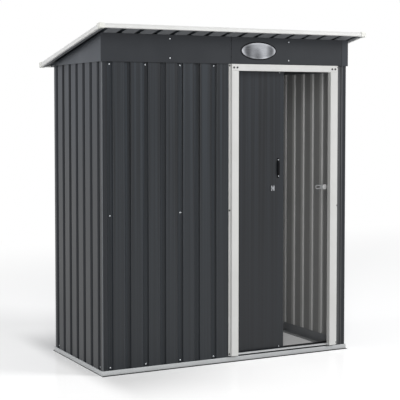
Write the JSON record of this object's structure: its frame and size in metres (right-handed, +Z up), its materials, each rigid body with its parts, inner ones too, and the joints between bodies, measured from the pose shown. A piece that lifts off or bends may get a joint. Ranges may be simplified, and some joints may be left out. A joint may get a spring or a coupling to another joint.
{
  "type": "metal tool shed",
  "caption": "Narrow metal tool shed with grooved dark walls, a single-slope roof with pale trim and a sliding door in a pale frame, shown half open.",
  "frame": {"origin": "on the ground, under the middle of the roof", "axes": "+X to the right along the front, +Y from the front to the rear, +Z up"},
  "size_m": [1.6044, 0.8894, 1.793],
  "materials": {
    "anthracite_coat": "satin",
    "white_coat": "satin",
    "grey_coat": "satin",
    "galvanised": "matt zinc",
    "white_plastic": "matt",
    "plate_metal": "brushed",
    "black_plastic": "satin",
    "lock_metal": "bright",
    "grey_plastic": "matt"
  },
  "bodies": {
    "shed": {"front_wall_left_sheet": "anthracite_coat", "front_wall_right_sheet": "anthracite_coat", "left_wall_sheet": "anthracite_coat", "right_wall_sheet": "anthracite_coat", "rear_wall_left_sheet": "anthracite_coat", "rear_wall_right_sheet": "anthracite_coat", "fascia_left": "anthracite_coat", "fascia_right": "anthracite_coat", "gable_left": "anthracite_coat", "gable_right": "anthracite_coat", "roof_sheet_left": "anthracite_coat", "roof_sheet_right": "anthracite_coat", "base_rail_front": "white_coat", "base_rail_rear": "white_coat", "base_rail_left": "white_coat", "base_rail_right": "white_coat", "door_jamb_left": "white_coat", "door_jamb_right": "white_coat", "door_header": "white_coat", "door_sill": "white_coat", "roof_trim_front": "white_coat", "roof_trim_rear": "white_coat", "roof_trim_left": "white_coat", "roof_trim_right": "white_coat", "floor_angle_rear": "grey_coat", "floor_angle_left": "grey_coat", "floor_angle_right": "grey_coat", "corner_post_front_left": "grey_coat", "corner_post_front_right": "grey_coat", "corner_post_rear_left": "grey_coat", "corner_post_rear_right": "grey_coat", "top_rail_left": "grey_coat", "top_rail_right": "grey_coat", "mid_rail_front": "grey_coat", "mid_rail_rear": "grey_coat", "door_track_bottom": "galvanised", "door_track_top": "galvanised", "top_rail_front": "galvanised", "top_rail_rear": "galvanised", "roof_corner_caps": "white_plastic", "oval_plate": "plate_metal", "lock_keeper": "lock_metal"},
    "door": {"door_panel": "anthracite_coat", "door_handle": "black_plastic", "door_lock": "lock_metal", "door_runners": "grey_plastic"}
  },
  "joints": [
    {"name": "door_slide", "type": "slide", "parent": "shed", "child": "door", "axis": [-1, 0, 0], "range_m": [-0.302, 0.255]}
  ]
}
